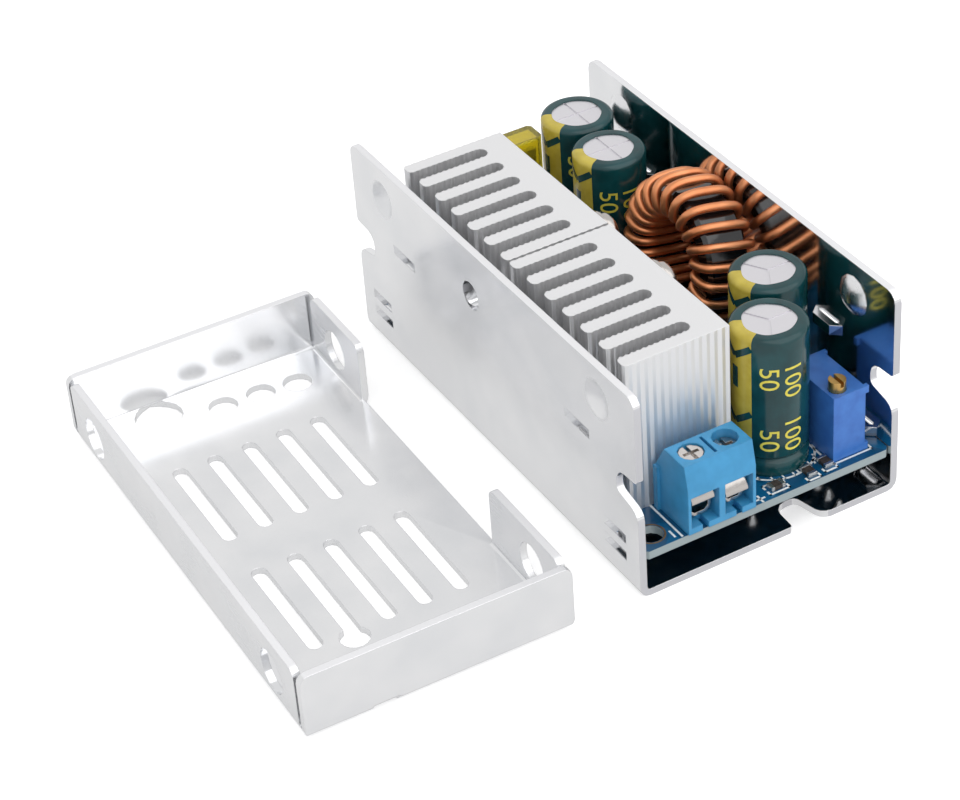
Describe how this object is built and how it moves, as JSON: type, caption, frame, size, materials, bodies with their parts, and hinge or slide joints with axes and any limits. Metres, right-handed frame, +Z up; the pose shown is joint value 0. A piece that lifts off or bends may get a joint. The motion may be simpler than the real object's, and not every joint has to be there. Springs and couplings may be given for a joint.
{
  "type": "boost converter module",
  "caption": "Open step-up power module: folded metal channel with a circuit board, finned heatsinks, ring choke, capacitors and screw terminals, its vented cover beside it.",
  "frame": {"origin": "middle of the chassis' flat underside", "axes": "+X along the chassis to its output end, +Y from the left wall to the right wall, +Z up; the cover lies open side up on the -Y side"},
  "size_m": [0.0721, 0.0854, 0.0305],
  "materials": {
    "stamped_sheet": "bright rolled sheet",
    "solder_mask_board": "blue solder mask over glass laminate",
    "extruded_aluminium": "clear anodised, extruded",
    "silicone_pad": "matte",
    "white_nylon": "moulded",
    "epoxy_moulding": "moulded",
    "tinned_copper": "tinned",
    "nickel_plated_steel": "nickel plated",
    "nickel_plated_brass": "nickel plated",
    "coated_iron_powder": "dipped coating",
    "enamelled_copper": "clear enamel",
    "clear_yellow_plastic": "moulded, translucent",
    "zinc_alloy": "stamped",
    "tinned_brass": "tinned",
    "blue_thermoset": "moulded",
    "turned_brass": "turned",
    "chip_ceramic": "fired ceramic",
    "drawn_can_aluminium": "drawn and scored",
    "shrink_film": "printed shrink film",
    "terminal_nylon": "moulded"
  },
  "bodies": {
    "root": {"capacitor_leads": "tinned_copper", "chassis": "stamped_sheet", "chip_parts": "chip_ceramic", "choke_core": "coated_iron_powder", "choke_winding": "enamelled_copper", "circuit_board": "solder_mask_board", "clamp_screws": "nickel_plated_steel", "clamp_washers": "nickel_plated_steel", "controller_body": "epoxy_moulding", "controller_leads": "tinned_copper", "cover": "stamped_sheet", "fuse_body": "clear_yellow_plastic", "fuse_clips": "tinned_brass", "fuse_link": "zinc_alloy", "heatsink_far": "extruded_aluminium", "heatsink_near": "extruded_aluminium", "input_capacitor_1_can": "drawn_can_aluminium", "input_capacitor_1_sleeve": "shrink_film", "input_capacitor_2_can": "drawn_can_aluminium", "input_capacitor_2_sleeve": "shrink_film", "input_terminal_cages": "nickel_plated_brass", "input_terminal_housing": "terminal_nylon", "insulating_bushes": "white_nylon", "insulating_pads": "silicone_pad", "output_capacitor_1_can": "drawn_can_aluminium", "output_capacitor_1_sleeve": "shrink_film", "output_capacitor_2_can": "drawn_can_aluminium", "output_capacitor_2_sleeve": "shrink_film", "output_terminal_cages": "nickel_plated_brass", "output_terminal_housing": "terminal_nylon", "package_leads": "tinned_copper", "rectifier_body": "epoxy_moulding", "rectifier_tab": "tinned_copper", "transistor_body": "epoxy_moulding", "transistor_tab": "tinned_copper", "trimmer_body": "blue_thermoset", "trimmer_pins": "tinned_copper"},
    "output_pole_1_leaf": {"output_leaf_1": "nickel_plated_brass"},
    "output_pole_1_screw": {"output_screw_1": "nickel_plated_steel"},
    "output_pole_2_leaf": {"output_leaf_2": "nickel_plated_brass"},
    "output_pole_2_screw": {"output_screw_2": "nickel_plated_steel"},
    "input_pole_1_leaf": {"input_leaf_1": "nickel_plated_brass"},
    "input_pole_1_screw": {"input_screw_1": "nickel_plated_steel"},
    "input_pole_2_leaf": {"input_leaf_2": "nickel_plated_brass"},
    "input_pole_2_screw": {"input_screw_2": "nickel_plated_steel"},
    "trimmer_adjuster_body": {"trimmer_adjuster": "turned_brass"}
  },
  "joints": [
    {"name": "output_pole_1_press", "type": "slide", "parent": "root", "child": "output_pole_1_leaf", "axis": [0, 0, -1], "range_m": [0, 0.002]},
    {"name": "output_pole_1_turn", "type": "hinge", "parent": "output_pole_1_leaf", "child": "output_pole_1_screw", "pos_m": [0.03265, -0.0097, 0.0155], "axis": [0, 0, -1], "range_deg": [-0.1, 1440.1]},
    {"name": "output_pole_2_press", "type": "slide", "parent": "root", "child": "output_pole_2_leaf", "axis": [0, 0, -1], "range_m": [-0.001, 0.001]},
    {"name": "output_pole_2_turn", "type": "hinge", "parent": "output_pole_2_leaf", "child": "output_pole_2_screw", "pos_m": [0.03265, -0.0047, 0.0155], "axis": [0, 0, -1], "range_deg": [-720.1, 720.1]},
    {"name": "input_pole_1_press", "type": "slide", "parent": "root", "child": "input_pole_1_leaf", "axis": [0, 0, -1], "range_m": [0, 0.002]},
    {"name": "input_pole_1_turn", "type": "hinge", "parent": "input_pole_1_leaf", "child": "input_pole_1_screw", "pos_m": [-0.03265, -0.0076, 0.0155], "axis": [0, 0, -1], "range_deg": [-0.1, 1440.1]},
    {"name": "input_pole_2_press", "type": "slide", "parent": "root", "child": "input_pole_2_leaf", "axis": [0, 0, -1], "range_m": [-0.001, 0.001]},
    {"name": "input_pole_2_turn", "type": "hinge", "parent": "input_pole_2_leaf", "child": "input_pole_2_screw", "pos_m": [-0.03265, -0.0126, 0.0155], "axis": [0, 0, -1], "range_deg": [-720.1, 720.1]},
    {"name": "trimmer_turn", "type": "hinge", "parent": "root", "child": "trimmer_adjuster_body", "pos_m": [0.0322, 0.0125, 0.0167], "axis": [0, 0, 1], "continuous": true}
  ],
  "couplings": [
    {"joint": "output_pole_1_turn", "follows": "output_pole_1_press", "rad_per_m": 12566},
    {"joint": "output_pole_2_turn", "follows": "output_pole_2_press", "rad_per_m": 12566},
    {"joint": "input_pole_1_turn", "follows": "input_pole_1_press", "rad_per_m": 12566},
    {"joint": "input_pole_2_turn", "follows": "input_pole_2_press", "rad_per_m": 12566}
  ]
}
